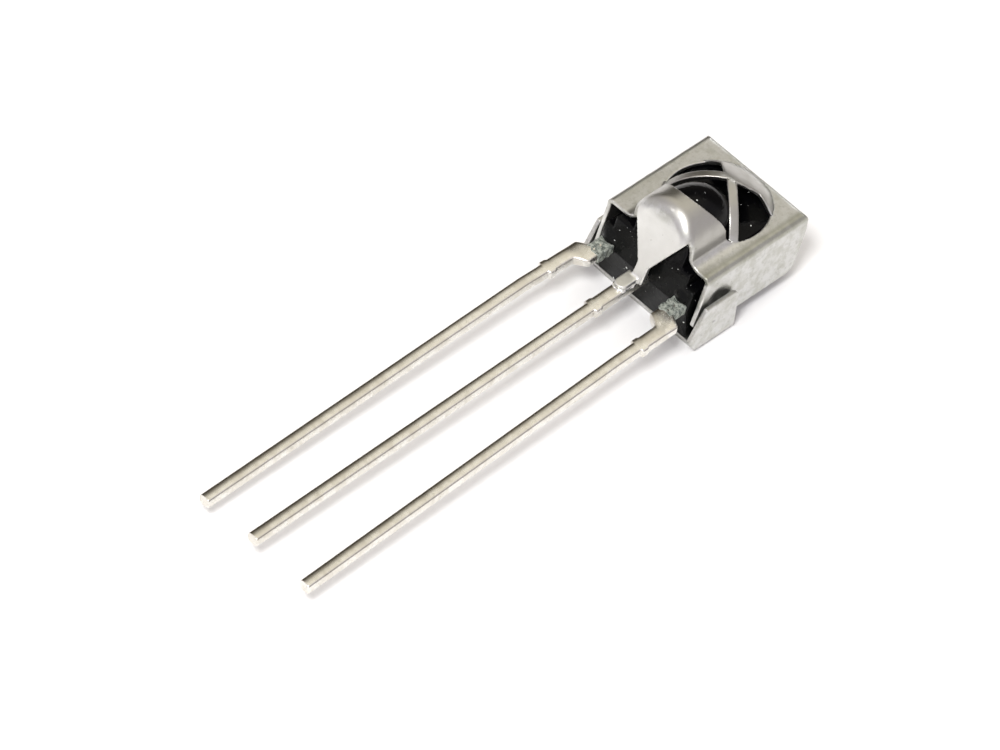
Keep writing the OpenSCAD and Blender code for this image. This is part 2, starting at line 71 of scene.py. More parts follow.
def carve(a: Array, b: Array, radius: float = 0.0) -> Array:
    """Intersects two fields, with a round of the given radius on the new edge."""
    if radius <= 0:
        return np.maximum(a, b)
    corner = np.hypot(np.maximum(a + radius, 0), np.maximum(b + radius, 0))
    return np.minimum(-radius, np.maximum(a, b)) + corner


def fuse(a: Array, b: Array, radius: float = 0.0) -> Array:
    """Unites two fields, with a fillet of the given radius in the new corner."""
    return -carve(-a, -b, radius)


def sheet(outside: Array, thickness: float) -> Array:
    """Turns the field of a solid into a sheet that lies just under its surface."""
    return np.abs(outside + thickness / 2) - thickness / 2


def rectangle(u: Array, v: Array, low: Point2, high: Point2, radius: float = 0.0) -> Array:
    """Gives the field of a rectangle with rounded corners.

    Args:
        u: First coordinate of the samples.
        v: Second coordinate of the samples.
        low: Lowest corner.
        high: Highest corner.
        radius: Corner radius.

    Returns:
        The signed distance, negative inside.
    """
    du = np.abs(u - (low[0] + high[0]) / 2) - (high[0] - low[0]) / 2 + radius
    dv = np.abs(v - (low[1] + high[1]) / 2) - (high[1] - low[1]) / 2 + radius
    beyond = np.hypot(np.maximum(du, 0), np.maximum(dv, 0))
    return beyond + np.minimum(np.maximum(du, dv), 0) - radius


def tombstone(u: Array, v: Array, centre_v: float, radius: float) -> Array:
    """Gives the field of a half circle that stands on endless upright flanks."""
    return np.hypot(u, np.maximum(v - centre_v, 0)) - radius


def polygon(u: Array, v: Array, points: Sequence[Point2]) -> Array:
    """Gives the field of a closed polygon.

    Args:
        u: First coordinate of the samples.
        v: Second coordinate of the samples.
        points: Corners in order, either way round.

    Returns:
        The signed distance, negative inside.
    """
    nearest = np.full(np.broadcast_shapes(np.shape(u), np.shape(v)), np.inf)
    inside = np.zeros(nearest.shape, bool)
    for (u0, v0), (u1, v1) in zip(points, [*points[1:], points[0]]):
        du, dv = u1 - u0, v1 - v0
        along = np.clip(((u - u0) * du + (v - v0) * dv) / (du * du + dv * dv), 0, 1)
        nearest = np.minimum(nearest, np.hypot(u - u0 - along * du, v - v0 - along * dv))
        if dv:
            crosses = (v0 > v) != (v1 > v)
            inside ^= crosses & (u < u0 + (v - v0) * du / dv)
    return np.where(inside, -nearest, nearest)


def skin(solid: Field, low: Sequence[float], high: Sequence[float], step: float) -> tuple[Array, Array]:
    """Skins a field with one vertex in each grid cell that its surface crosses.

    Args:
        solid: The field, in millimetres.
        low: Lowest corner of the grid.
        high: Highest corner of the grid.
        step: Grid spacing.

    Returns:
        The vertices, and the quads as rows of four vertex numbers.
    """
    axes = [np.arange(a, b + step, step) for a, b in zip(low, high)]
    values = np.broadcast_to(solid(*np.ix_(*axes)), [len(a) for a in axes])
    inside = values < 0
    corners = [np.array([i, j, k]) for i in (0, 1) for j in (0, 1) for k in (0, 1)]
    size = np.array(values.shape) - 1
    unit = np.eye(3, dtype=int)
    count = sum(
        inside[c[0] : c[0] + size[0], c[1] : c[1] + size[1], c[2] : c[2] + size[2]].astype(np.int8)
        for c in corners
    )
    cells = np.argwhere((count > 0) & (count < 8))
    number = np.full(size, -1)
    number[tuple(cells.T)] = np.arange(len(cells))

    total = np.zeros((len(cells), 3))
    crossings = np.zeros((len(cells), 1))
    for start in corners:
        for axis in range(3):
            if start[axis]:
                continue
            end = start + unit[axis]
            first, last = values[tuple((cells + start).T)], values[tuple((cells + end).T)]
            hit = (first < 0) != (last < 0)
            share = first[hit] / (first[hit] - last[hit])
            total[hit] += start + share[:, None] * (end - start)
            crossings[hit] += 1
    vertices = np.array(low) + step * (cells + total / crossings)

    quads = []
    for axis in range(3):
        u, v = unit[(axis + 1) % 3], unit[(axis + 2) % 3]
        before = np.moveaxis(inside, axis, 0)[:-1]
        after = np.moveaxis(inside, axis, 0)[1:]
        edges = np.moveaxis(before != after, 0, axis)
        outward = np.moveaxis(before, 0, axis)
        at = np.argwhere(edges)
        around = [at - u - v, at - v, at, at - u]
        whole = np.all([((a >= 0) & (a < size)).all(1) for a in around], axis=0)
        ring = np.stack([number[tuple(a[whole].T)] for a in around], axis=1)
        leaves = outward[tuple(at[whole].T)]
        quads.append(np.where(leaves[:, None], ring, ring[:, ::-1]))
    return vertices, np.concatenate(quads)


def slope(solid: Field, points: Array, reach: float = 0.004) -> Array:
    """Gives a field's gradient at each point, by central differences."""
    columns = []
    for axis in range(3):
        offset = np.zeros(3)
        offset[axis] = reach
        ahead, behind = (points + offset).T, (points - offset).T
        columns.append((solid(*ahead) - solid(*behind)) / (2 * reach))
    return np.stack(columns, axis=1)


def add_object(name: str, data: bpy.types.ID) -> bpy.types.Object:
    """Adds an object to the scene."""
    added = bpy.data.objects.new(name, data)
    bpy.context.scene.collection.objects.link(added)
    return added


def formed_mesh(
    name: str, solid: Field, low: Sequence[float], high: Sequence[float], step: float
) -> bpy.types.Object:
    """Makes a piece from a field, with its vertices drawn onto the true surface.

    Args:
        name: Name of the piece.
        solid: The field, in millimetres.
        low: Lowest corner of the space that holds the piece.
        high: Highest corner of that space.
        step: Grid spacing.

    Returns:
        The new object, with smooth normals taken from the field.
    """
    vertices, quads = skin(solid, low, high, step)
    for _ in range(DRAWING_PASSES):
        gradient = slope(solid, vertices)
        steepness = np.maximum((gradient**2).sum(1), LEAST_STEEPNESS)
        move = solid(*vertices.T) / steepness
        vertices -= np.clip(move, -step / 2, step / 2)[:, None] * gradient
    normals = slope(solid, vertices, step / 4)
    normals /= np.maximum(np.linalg.norm(normals, axis=1), 1e-9)[:, None]
    mesh = bpy.data.meshes.new(name)
    mesh.from_pydata((vertices * MM).tolist(), [], quads.tolist())
    mesh.polygons.foreach_set("use_smooth", np.ones(len(quads), bool))
    mesh.normals_split_custom_set_from_vertices(normals.tolist())
    return add_object(name, mesh)


def formed_piece(name: str, solid: Field, box: Sequence[Vector], step: float) -> bpy.types.Object:
    """Makes a piece from a field, over a box in metres with two grid steps to spare."""
    low, high = (corner / MM for corner in box)
    margin = Vector((step, step, step)) * 2
    return formed_mesh(name, solid, low - margin, high + margin, step)


# ---- materials ----


def math_method(operation: str, flipped: bool = False) -> Callable[..., "Socket"]:
    """Makes a method that adds one Math node, with the socket put last if flipped."""

    def method(socket: "Socket", *others: "Socket | float") -> "Socket":
        values = (*others, socket) if flipped else (socket, *others)
        return socket.graph.node("ShaderNodeMath", {"operation": operation}, dict(enumerate(values)))

    return method


class Socket:
    """A node socket on which sums can be written as plain expressions."""

    def __init__(self, graph: "Graph", link: bpy.types.NodeSocket) -> None:
        """Wraps an output socket of one tree."""
        self.graph = graph
        self.link = link

    __add__ = __radd__ = math_method("ADD")
    __sub__ = math_method("SUBTRACT")
    __rsub__ = math_method("SUBTRACT", flipped=True)
    __mul__ = __rmul__ = math_method("MULTIPLY")
    __truediv__ = math_method("DIVIDE")
    __rtruediv__ = math_method("DIVIDE", flipped=True)
    __pow__ = math_method("POWER")
    __rpow__ = math_method("POWER", flipped=True)
    absolute = math_method("ABSOLUTE")
    sign = math_method("SIGN")

    def clamped(self) -> "Socket":
        """Limits the value to the range from 0 to 1."""
        settings = {"operation": "ADD", "use_clamp": True}
        return self.graph.node("ShaderNodeMath", settings, {0: self, 1: 0.0})

    def ramp(self, low: "Socket | float", high: "Socket | float", smooth: bool = True) -> "Socket":
        """Maps low to 0 and high to 1 with both ends held.

        Args:
            low: Value that becomes 0.
            high: Value that becomes 1.
            smooth: Whether the ramp eases in and out.

        Returns:
            The share between the two.
        """
        values = {"Value": self, "From Min": low, "From Max": high}
        kind = "SMOOTHSTEP" if smooth else "LINEAR"
        return self.graph.node("ShaderNodeMapRange", {"interpolation_type": kind}, values)


class Graph:
    """A node tree, built a node at a time."""

    def __init__(self, tree: bpy.types.NodeTree) -> None:
        """Wraps a tree."""
        self.tree = tree

    def node(
        self,
        kind: str,
        settings: Mapping[str, object] | None = None,
        values: Mapping[str | int, object] | None = None,
        output: str | int = 0,
    ) -> Socket:
        """Adds a node, sets it up and fills its inputs.

        Args:
            kind: The node's type name.
            settings: Attributes, which are set first.
            values: Links or constants by input name or number.
            output: Name or number of the output to hand back.

        Returns:
            The chosen output.
        """
        made = self.tree.nodes.new(kind)
        for key, setting in (settings or {}).items():
            setattr(made, key, setting)
        for key, value in (values or {}).items():
            self.feed(made.inputs[key], value)
        return Socket(self, made.outputs[output])

    def feed(self, socket: bpy.types.NodeSocket, value: object) -> None:
        """Links a socket, or sets its constant."""
        if isinstance(value, Socket):
            self.tree.links.new(value.link, socket)
        elif isinstance(value, tuple) and len(value) == 3 and socket.type == "RGBA":
            socket.default_value = (*value, 1.0)
        else:
            socket.default_value = value

    def mix(self, share: Socket | float, first: Socket | Colour, second: Socket | Colour) -> Socket:
        """Blends two colours."""
        values = {0: share, 6: first, 7: second}
        return self.node("ShaderNodeMix", {"data_type": "RGBA"}, values, 2)

    def dot(self, vector: Socket, direction: Colour) -> Socket:
        """Gives how far a vector points along a direction."""
        values = {0: vector, 1: direction}
        return self.node("ShaderNodeVectorMath", {"operation": "DOT_PRODUCT"}, values, "Value")


class Shader(Graph):
    """One material's node tree."""

    def __init__(self, name: str) -> None:
        """Makes an empty material with one Principled surface."""
        self.material = bpy.data.materials.new(name)
        self.material.use_nodes = True
        super().__init__(self.material.node_tree)
        self.surface = self.tree.nodes["Principled BSDF"]
        self.place = self.node("ShaderNodeTexCoord", output="Object")

    def set(self, **values: object) -> None:
        """Feeds the surface's inputs; an underscore stands for a space."""
        for key, value in values.items():
            self.feed(self.surface.inputs[key.replace("_", " ")], value)

    def axis(self, name: str) -> Socket:
        """Gives one object coordinate, in millimetres."""
        return self.node("ShaderNodeSeparateXYZ", values={"Vector": self.place}, output=name) * (1 / MM)

    def facing(self, way: Colour) -> Socket:
        """Gives how far the surface faces a direction."""
        return self.dot(self.node("ShaderNodeTexCoord", output="Normal"), way)

    def noise(
        self, size: float, detail: float = 3.0, stretch: Colour = (1, 1, 1), roughness: float = 0.5
    ) -> Socket:
        """Gives soft noise from 0 to 1.

        Args:
            size: Size of the largest blotches, in millimetres.
            detail: Number of finer layers.
            stretch: Length of a blotch along X, Y and Z, as a factor.
            roughness: Strength of the finer layers.

        Returns:
            The noise value.
        """
        scale = tuple(1 / (size * MM * s) for s in stretch)
        moved = self.node("ShaderNodeMapping", values={"Vector": self.place, "Scale": scale})
        values = {"Vector": moved, "Scale": 1.0, "Detail": detail, "Roughness": roughness}
        return self.node("ShaderNodeTexNoise", values=values, output=0)

    def bump(self, height: Socket, depth: float, strength: float = 1.0) -> Socket:
        """Turns a height from 0 to 1 into a normal, depth in millimetres."""
        values = {"Height": height, "Distance": depth * MM, "Strength": strength}
        return self.node("ShaderNodeBump", values=values, output="Normal")


@dataclass(frozen=True)
class TinPlate:
    """Satin tin plate: cloudy, finely rolled and specked.

    One fold gets painted shade, the metal drawn up over the lens a darker painted shade,
    and the tongue a bright painted reflection. A strip can get painted shade where it
    faces one side, and along its ridge.
    """

    colour: Colour = (0.64, 0.64, 0.63)
    cloud: Colour = (0.50, 0.50, 0.46)
    mottle: Colour = (0.36, 0.36, 0.33)
    # Colour of the specks, and also the colour that the painted shade by facing darkens towards.
    speck: Colour = (0.22, 0.21, 0.17)
    # Painted shade along the +X fold between the front plate and the side wall.
    stain: Colour = (0.35, 0.35, 0.30)
    stain_x: Point2 = (2.22, 2.45)
    stain_z: Point2 = (3.05, 3.25)
    # Painted shade: a darker, duller tone over the arch and the ribs drawn up over the lens.
    drawn: Colour = (0.42, 0.41, 0.38)
    over_lens_shade_y: Point2 = (-2.66, -2.45)
    over_lens_shade_z: Point2 = (3.5, 3.8)
    # Painted reflection: a bright tone on the tongue.
    bright: Colour = (0.80, 0.80, 0.77)
    bright_y: Point2 = (-2.86, -2.72)
    bright_z: Point2 = (2.1, 2.3)
    # Painted shade by facing: darker where a face turns towards one side and along the ridge, zero unless
    # set.
    tarnish: float = 0.0
    tarnish_way: Colour = (-0.45, 0.0, 0.89)
    tarnish_range: Point2 = (0.88, 0.985)
    ridge_shade_way: Colour = (0.71, 0.0, 0.70)
    ridge_shade_range: Point2 = (0.95, 0.995)
    roughness: float = 0.26
    grain: Colour = (1, 9, 1)
    ripple_depth: float = 0.045
    cloud_size: float = 0.55
    mottle_size: float = 0.2
    speck_size: float = 0.16
    grain_size: float = 0.045
    ripple_size: float = 1.1

    def material(self, name: str) -> bpy.types.Material:
        """Builds the finish."""
        s = Shader(name)
        clouds = s.noise(self.cloud_size, 5, roughness=0.65).ramp(0.38, 0.66)
        grain = s.noise(self.grain_size, 2, self.grain)
        ripple = s.noise(self.ripple_size, 2)
        specks = s.noise(self.speck_size, 2).ramp(0.70, 0.80)
        tone = s.mix((clouds * 0.8 + grain * 0.3).clamped(), self.colour, self.cloud)
        mottle = s.noise(self.mottle_size, 4, roughness=0.7).ramp(0.50, 0.72)
        tone = s.mix(mottle * 0.5, tone, self.mottle)
        # Painted shade along that fold, varied a little by the clouds.
        folded = s.axis("X").ramp(*self.stain_x) * s.axis("Z").ramp(*self.stain_z)
        tone = s.mix(folded * (clouds * 0.3 + 0.7), tone, self.stain)
        # Painted shade over the arch and the ribs.
        drawn = s.axis("Z").ramp(*self.over_lens_shade_z) * s.axis("Y").ramp(*self.over_lens_shade_y)
        tone = s.mix(drawn * (0.95 - grain * 0.2), tone, self.drawn)
        # Painted reflection that lightens the tongue.
        front = s.axis("Z").ramp(*self.bright_z) * (1.0 - s.axis("Y").ramp(*self.bright_y))
        tone = s.mix(front * 0.85, tone, self.bright)
        # Painted shade on faces turned to one side and along the ridge, towards the speck colour.
        side_shade = s.facing(self.tarnish_way).ramp(*self.tarnish_range)
        ridge_shade = s.facing(self.ridge_shade_way).ramp(*self.ridge_shade_range) * 0.6
        tone = s.mix((side_shade + ridge_shade) * (clouds * 0.3 + 0.8) * self.tarnish, tone, self.speck)
        s.set(
            Base_Color=s.mix(specks * 0.5, tone, self.speck),
            Metallic=1.0,
            Roughness=(clouds * 0.1 + grain * 0.08 + specks * 0.1 + self.roughness).clamped(),
            Normal=s.bump(ripple * 0.9 + grain * 0.03 - specks * 0.04, self.ripple_depth, 0.6),
        )
        return s.material


@dataclass(frozen=True)
class BlackEpoxy:
    """Moulded black epoxy: a glossy lens and a duller, greyer face at the leads."""

    colour: Colour = (0.002, 0.002, 0.0025)
    flow: Colour = (0.006, 0.006, 0.0055)
    face: Colour = (0.007, 0.0075, 0.007)
    face_y: Point2 = (-3.0, -2.85)
    roughness: float = 0.04
    face_roughness: float = 0.1
    ior: float = 1.2
    # Pale specks over the whole body: partly dust, partly painted glints.
    dust: Colour = (0.75, 0.78, 0.74)
    dust_and_glint_range: Point2 = (0.81, 0.85)
    dust_and_glint_size: float = 0.13
    peel_size: float = 0.22
    flow_size: float = 0.9
    grit_size: float = 0.14
    peel_depth: float = 0.03

    def material(self, name: str) -> bpy.types.Material:
        """Builds the finish."""
        s = Shader(name)
        peel = s.noise(self.peel_size, 3)
        flow = s.noise(self.flow_size, 3, (1, 1, 0.5)).ramp(0.45, 0.75)
        grit = s.noise(self.grit_size, 1).ramp(0.66, 0.76)
        face = 1.0 - s.axis("Y").ramp(*self.face_y)
        tone = s.mix(face * (flow * 0.4 + 0.6), s.mix(flow, self.colour, self.flow), self.face)
        # Pale specks, partly dust and partly painted glints.
        dust = s.noise(self.dust_and_glint_size, 0).ramp(*self.dust_and_glint_range)
        s.set(
            Base_Color=s.mix(dust, tone, self.dust),
            Roughness=(peel * 0.06 + face * self.face_roughness + self.roughness).clamped(),
            IOR=self.ior,
            Normal=s.bump(peel * 0.4 + face * grit, self.peel_depth, 0.7),
        )
        return s.material


@dataclass(frozen=True)
class ThinResin:
    """Resin that crept over a lead: too thin to be black, greenish, pitted and glossy."""

    thin: Colour = (0.40, 0.43, 0.38)
    thick: Colour = (0.13, 0.15, 0.135)
    roughness: float = 0.16
    metallic: float = 0.25
    pit_size: float = 0.13
    pit_depth: float = 0.06

    def material(self, name: str) -> bpy.types.Material:
        """Builds the finish."""
        s = Shader(name)
        pits = s.noise(self.pit_size, 3, roughness=0.65)
        s.set(
            Base_Color=s.mix(pits.ramp(0.36, 0.62), self.thick, self.thin),
            Metallic=self.metallic,
            Roughness=(pits * 0.25 + self.roughness).clamped(),
            Normal=s.bump(pits, self.pit_depth, 0.9),
        )
        return s.material


@dataclass(frozen=True)
class PlainMetal:
    """A small metal piece with a lightly uneven surface."""

    colour: Colour
    roughness: float
    metallic: float = 1.0
    spot_size: float = 0.15
    spot_depth: float = 0.02

    def material(self, name: str) -> bpy.types.Material:
        """Builds the finish."""
        s = Shader(name)
        spots = s.noise(self.spot_size, 3)
        s.set(
            Base_Color=s.mix(spots * 0.3, self.colour, tuple(0.7 * c for c in self.colour)),
            Metallic=self.metallic,
            Roughness=(spots * 0.2 + self.roughness).clamped(),
            Normal=s.bump(spots, self.spot_depth, 0.4),
        )
        return s.material


class Finish(Enum):
    """The module's finishes, each with its slot in the record."""

    TIN_PLATE = ("tin_plate", TinPlate())
    BLACK_EPOXY = ("black_epoxy", BlackEpoxy())
    THIN_RESIN = ("black_epoxy", ThinResin())
    TINNED_LEAD = (
        "tinned_lead",
        TinPlate(
            colour=(0.85, 0.84, 0.80),
            cloud=(0.72, 0.69, 0.62),
            mottle=(0.55, 0.53, 0.46),
            speck=(0.22, 0.195, 0.155),
            roughness=0.2,
            # Painted shade on the leads' faces that turn one way and along their ridges.
            tarnish=0.95,
        ),
    )
    SOLDER = ("solder", PlainMetal((0.85, 0.85, 0.83), 0.15))
    SILICON = ("silicon", PlainMetal((0.25, 0.27, 0.35), 0.12, 0.6))
    DIE_ADHESIVE = ("die_adhesive", PlainMetal((0.70, 0.70, 0.68), 0.55, 0.3))
    GOLD_WIRE = ("gold_wire", PlainMetal((0.95, 0.72, 0.30), 0.20))

    @property
    def slot(self) -> str:
        """Name of the record's material slot."""
        return self.value[0]

    def material(self) -> bpy.types.Material:
        """Gives the finish's material, which is built once."""
        name = f"{self.name.lower()}_finish"
        return bpy.data.materials.get(name) or self.value[1].material(name)

    def dress(self, piece: bpy.types.Object) -> None:
        """Puts the finish on every slot of a piece."""
        if not piece.material_slots:
            piece.data.materials.append(self.material())
        for held in piece.material_slots:
            held.material = self.material()
        LOG.info("%s: %d faces, %s", piece.name, len(piece.data.polygons), self.name)


def settle(piece: bpy.types.Object, finish: Finish, *nodes: str) -> None:
    """Gives a piece its finish and its body, and hides the CAD nodes that it stands for."""
    finish.dress(piece)
    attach(piece, "root")
    if nodes:
        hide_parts(*nodes)


# ---- the module ----


@dataclass
class Case:
    """Sizes that several pieces share; the arch and the window are off centre."""

    width: float = 5.4
    length: float = 5.3
    height: float = 3.45
    thickness: float = 0.2
    arch_radius: float = 1.55
    arch_lift: float = 0.4
    press_x: float = 0.2
    window_x: float = 0.06
    lead_top: float = 2.04
    lead_thickness: float = 0.4
    lead_root_x: float = 1.93
    lead_root_width: float = 0.62

    @property
    def near(self) -> float:
        """Lead end of the front plate."""
        return -self.length / 2

    @property
    def far(self) -> float:
        """Outer face of the end wall."""
        return self.length / 2

    @property
    def arch_z(self) -> float:
        """Height of the arch's axis."""
        return self.height + self.arch_lift


@dataclass
class Shield:
    """The folded sheet: cover, arch, ribs, tongue, end wall, back plate and ears."""

    case: Case
    step: float = 0.055
    punched_edge: float = 0.045
    bend_radius: float = 0.28
    strap_half_width: float = 2.2
    wall_lift: float = 0.65
    wall_nose: float = 0.5
    nose_z: float = 1.2
    brow_z: float = 3.1
    wall_cut: float = 0.42
    wall_cut_z: float = 2.6
    chin_y: float = 0.1
    open_margin: float = 1.3
    back_nose: float = 0.45
    arch_foot: float = 0.45
    arch_length: float = 2.6
    window_y: float = 3.0
    window_radius: float = 2.05
    dome_foot_radius: float = 2.12
    dome_height: float = 1.12
    dome_foot: float = 0.08
    rib_width: float = 0.38
    rib_angle: float = math.radians(40)
    rib_meet: float = 0.6
    leaf_tip: float = 0.34
    leaf_shoulder_x: float = 1.02
    leaf_shoulder_y: float = 1.13
    leaf_slope: float = math.radians(37)
    leaf_foot_y: float = 2.09
    leaf_round: float = 0.18
    tongue_lean: float = math.radians(22)
    tongue_corner_lift: float = 1.15
    tongue_fold: float = 0.4
    neck_half_width: float = 0.28
    neck_rise: float = 0.75
    tab_length: float = 0.85
    tab_fillet: float = 0.1
    solder_gap: float = 0.03
    ear_length: float = 2.45
    ear_nose: float = 0.88
    ear_nose_z: float = 0.75
    ear_rake: float = 0.75
    ear_height: float = 2.1
    ear_gap: float = 0.08
    ear_corner: float = 0.3
    dent_radius: float = 0.62
    dent_floor: float = 0.1
    dent_depth: float = 0.14
    dent_y: float = 0.7
    dent_z: float = 2.05
    punch_radius: float = 0.11
    punch_z: float = 1.25

    def tongue_y(self, z: float | Array) -> float | Array:
        """Gives where the tongue's outer face is at a height."""
        corner_z = self.case.height + self.tongue_corner_lift
        return self.case.near - self.case.thickness + (z - corner_z) * math.tan(self.tongue_lean)

    def tongue_outline(self) -> list[Point2]:
        """Gives the tongue's outline, seen from the leads."""
        corner_z = self.case.height + self.tongue_corner_lift
        corner_x = math.sqrt(self.case.arch_radius**2 - (corner_z - self.case.arch_z) ** 2)
        neck_z = self.case.lead_top + self.neck_rise
        right = [
            (corner_x, self.case.height + 4 * self.case.arch_radius),
            (corner_x, corner_z),
            (self.neck_half_width, neck_z),
            (self.neck_half_width, self.case.lead_top + self.solder_gap),
        ]
        return right + [(-x, z) for x, z in reversed(right)]

    def wall_outline(self) -> list[Point2]:
        """Gives the side walls' outline in Y and Z, open upwards past the arch."""
        c, low = self.case, self.wall_lift
        return [
            (c.far + c.thickness, 3 * c.height),
            (c.near, 3 * c.height),
            (c.near, self.brow_z),
            (c.near - self.wall_nose, self.nose_z),
            (c.near + self.chin_y, low),
            (c.far - 2 * self.wall_cut, low),
            (c.far - self.wall_cut, low + self.wall_cut / 2),
            (c.far, self.wall_cut_z),
            (c.far + c.thickness, self.wall_cut_z),
        ]

    def ear_outline(self) -> list[Point2]:
        """Gives the ears' outline in Y and Z, open downwards."""
        c = self.case
        near = c.near - self.ear_nose
        far, foot = near + self.ear_length, c.near - self.back_nose
        return [
            (foot, -c.height),
            (foot, 0.0),
            (near, self.ear_nose_z),
            (near + self.ear_rake, self.ear_height),
            (far, self.ear_height),
            (far, -c.height),
        ]

    def rib_outline(self) -> list[Point2]:
        """Gives the two ribs and the leaf in plan, around the window's centre."""
        half = self.rib_width / 2 / math.cos(self.rib_angle)
        rim = self.window_radius + self.dome_foot
        drop = rim * math.tan(self.rib_angle)
        right = [
            (0.0, self.rib_meet - half),
            (rim, self.rib_meet - half - drop),
            (rim, self.rib_meet + half - drop),
            (self.leaf_tip, self.rib_meet + half - self.leaf_tip * math.tan(self.rib_angle)),
            (self.leaf_shoulder_x, self.leaf_shoulder_y),
            (rim, self.leaf_shoulder_y),
            (rim, rim),
        ]
        return right + [(-x, y) for x, y in reversed(right[1:])]

    def dent(self, y: Array, z: Array) -> Array:
        """Gives how far the side walls are pushed in by the crimp, with a flat floor."""
        from_dent = np.hypot(y - self.case.near - self.dent_y, z - self.dent_z) / self.dent_radius
        share = np.clip((1 - from_dent) / (1 - self.dent_floor), 0, 1)
        return self.dent_depth * share**2 * (3 - 2 * share)

    def cover(self, x: Array, y: Array, z: Array) -> Array:
        """Gives the front plate, the side walls, the far fold, the arch and the tongue."""
        c = self.case
        side = np.abs(x)
        pushed = side + self.dent(y, z)
        across = rectangle(pushed, z, (-c.width / 2, -c.height), (c.width / 2, c.height), self.bend_radius)
        along = rectangle(y, z, (-3 * c.length, -c.height), (c.far, c.height), self.bend_radius)
        pressed = x - c.press_x
        arch = np.maximum(tombstone(pressed, z, c.arch_z, c.arch_radius), y - c.near - self.arch_length)
        hull = fuse(carve(across, along, self.punched_edge), arch, self.arch_foot)
        tongue_plane = (self.tongue_y(z) - y) * math.cos(self.tongue_lean)
        folded = sheet(carve(hull, tongue_plane, self.tongue_fold), c.thickness)
        tongue = carve(polygon(pressed, z, self.tongue_outline()), y - c.near - self.tongue_fold)
        kept = np.minimum(polygon(y, z, self.wall_outline()), tongue)
        window = self.window_radius - np.hypot(x - c.window_x, y - c.near - self.window_y)
        open_end = np.maximum(side - c.width / 2 + c.thickness, c.far - self.open_margin * c.thickness - y)
        open_end = np.maximum(open_end, z - c.height + self.bend_radius)
        for limit in (kept, window, -open_end):
            folded = carve(folded, limit, self.punched_edge)
        return folded

    def ribs(self, x: Array, y: Array, z: Array) -> Array:
        """Gives the domed ribs and the leaf, drawn up out of the front plate."""
        c = self.case
        x, v, w = x - c.window_x, y - c.near - self.window_y, z - c.height
        radius = (self.dome_foot_radius**2 + self.dome_height**2) / (2 * self.dome_height)
        dome = np.sqrt(x**2 + v**2 + (w - self.dome_height + radius) ** 2) - radius
        flank = (v - self.leaf_foot_y) * math.sin(self.leaf_slope) + w * math.cos(self.leaf_slope)
        dome = carve(dome, flank, self.leaf_round)
        drawn = sheet(fuse(w, dome, self.dome_foot), c.thickness)
        plan = carve(polygon(x, v, self.rib_outline()), np.hypot(x, v) - self.window_radius - self.dome_foot)
        return carve(drawn, plan, self.punched_edge)

    def strap(self, x: Array, y: Array, z: Array) -> Array:
        """Gives the end wall and the back plate."""
        c = self.case
        loop = rectangle(y, z, (-3 * c.length, 0), (c.far, c.height), self.bend_radius)
        kept = np.maximum(c.far - self.bend_radius - y, z - c.height + self.bend_radius / 2)
        kept = np.minimum(kept, z - c.height / 2)
        kept = np.maximum(kept, c.near - self.back_nose - y)
        folded = carve(sheet(loop, c.thickness), np.abs(x) - self.strap_half_width, self.punched_edge)
        return carve(folded, kept, self.punched_edge)

    def ears(self, x: Array, y: Array, z: Array) -> Array:
        """Gives the two ears with the strip that joins them."""
        c = self.case
        side, half = np.abs(x), c.width / 2 + self.ear_gap + c.thickness
        near = c.near - self.ear_nose
        trough = rectangle(side, z, (-half, 0), (half, 3 * c.height), self.bend_radius)
        corner_y, corner_z = near + self.ear_length - self.ear_corner, self.ear_height - self.ear_corner
        corner = np.hypot(np.maximum(y - corner_y, 0), np.maximum(z - corner_z, 0)) - self.ear_corner
        outline = np.maximum(polygon(y, z, self.ear_outline()), corner)
        front_gap = np.maximum(side - c.width / 2, y - c.near + self.back_nose)
        folded = carve(sheet(trough, c.thickness), outline, self.punched_edge)
        folded = carve(folded, -front_gap, self.punched_edge)
        v, w = y - near - self.ear_length / 2, z - self.punch_z
        mark = self.punch_radius - np.sqrt((side - half - self.punch_radius / 2) ** 2 + v**2 + w**2)
        return carve(folded, mark)

    def tab(self, x: Array, y: Array, z: Array) -> Array:
        """Gives the tab at the tongue's foot, flat on the ground lead."""
        c, half = self.case, self.neck_half_width
        low = c.lead_top + self.solder_gap
        root = self.tongue_y(low + c.thickness)
        plan = rectangle(x, y, (-half, root - self.tab_length), (half, root + c.thickness / 2), half)
        square = rectangle(x, y, (-half, root - self.tab_length / 2), (half, root + c.thickness / 2))
        slab = np.abs(z - low - c.thickness / 2) - c.thickness / 2
        return carve(np.minimum(plan, square), slab, self.punched_edge)

    def solid(self, x: Array, y: Array, z: Array) -> Array:
        """Gives the whole sheet."""
        tongue = fuse(self.cover(x, y, z), self.tab(x, y, z), self.tab_fillet)
        front = np.minimum(tongue, self.ribs(x, y, z))
        return np.minimum(front, np.minimum(self.strap(x, y, z), self.ears(x, y, z)))

    def build(self) -> None:
        """Makes the shield and dresses it."""
        piece = formed_piece("folded_shield", self.solid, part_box("shield"), self.step)
        settle(piece, Finish.TIN_PLATE, "shield")


